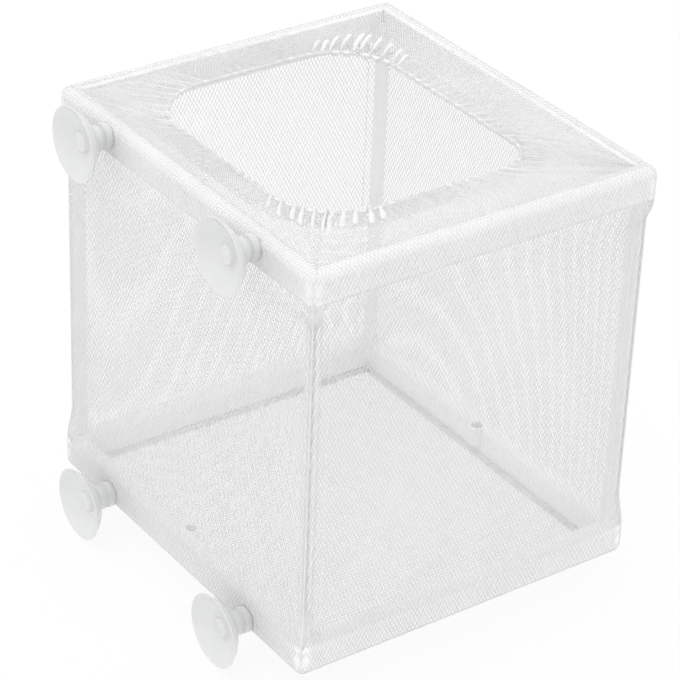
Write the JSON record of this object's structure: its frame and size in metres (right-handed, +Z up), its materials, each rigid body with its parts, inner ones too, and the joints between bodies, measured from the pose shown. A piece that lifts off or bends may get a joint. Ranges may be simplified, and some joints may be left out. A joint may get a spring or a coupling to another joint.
{
  "type": "fish breeding box",
  "caption": "Square net breeding box on a plug-together plastic frame, with an elastic mouth and suction cups that hold it inside an aquarium",
  "frame": {"origin": "on the glass plane that the four cup rims lie in, midway between the cups", "axes": "+X away from the glass through the box, +Y along the glass, +Z up"},
  "size_m": [0.1475, 0.15, 0.1656],
  "materials": {
    "plastic": "moulded, slightly glossy",
    "netting": "fine woven nylon mesh, see-through",
    "elastic": "matt cord",
    "silicone": "milky, translucent, satin"
  },
  "bodies": {
    "box": {"frame_bottom_left": "plastic", "frame_bottom_right": "plastic", "frame_top_left": "plastic", "frame_top_right": "plastic", "post_glass_left": "plastic", "post_glass_right": "plastic", "post_water_left": "plastic", "post_water_right": "plastic", "net_floor": "netting", "net_glass": "netting", "net_water": "netting", "net_left": "netting", "net_right": "netting", "mouth_elastic": "elastic"},
    "cup_top_left_body": {"cup_top_left": "silicone"},
    "cup_top_right_body": {"cup_top_right": "silicone"},
    "cup_bottom_left_body": {"cup_bottom_left": "silicone"},
    "cup_bottom_right_body": {"cup_bottom_right": "silicone"}
  },
  "joints": [
    {"name": "cup_top_left_turn", "type": "hinge", "parent": "box", "child": "cup_top_left_body", "pos_m": [0.0125, -0.043, 0.0698], "axis": [1, 0, 0], "continuous": true},
    {"name": "cup_top_right_turn", "type": "hinge", "parent": "box", "child": "cup_top_right_body", "pos_m": [0.0125, 0.043, 0.0698], "axis": [1, 0, 0], "continuous": true},
    {"name": "cup_bottom_left_turn", "type": "hinge", "parent": "box", "child": "cup_bottom_left_body", "pos_m": [0.0125, -0.043, -0.0698], "axis": [1, 0, 0], "continuous": true},
    {"name": "cup_bottom_right_turn", "type": "hinge", "parent": "box", "child": "cup_bottom_right_body", "pos_m": [0.0125, 0.043, -0.0698], "axis": [1, 0, 0], "continuous": true}
  ]
}
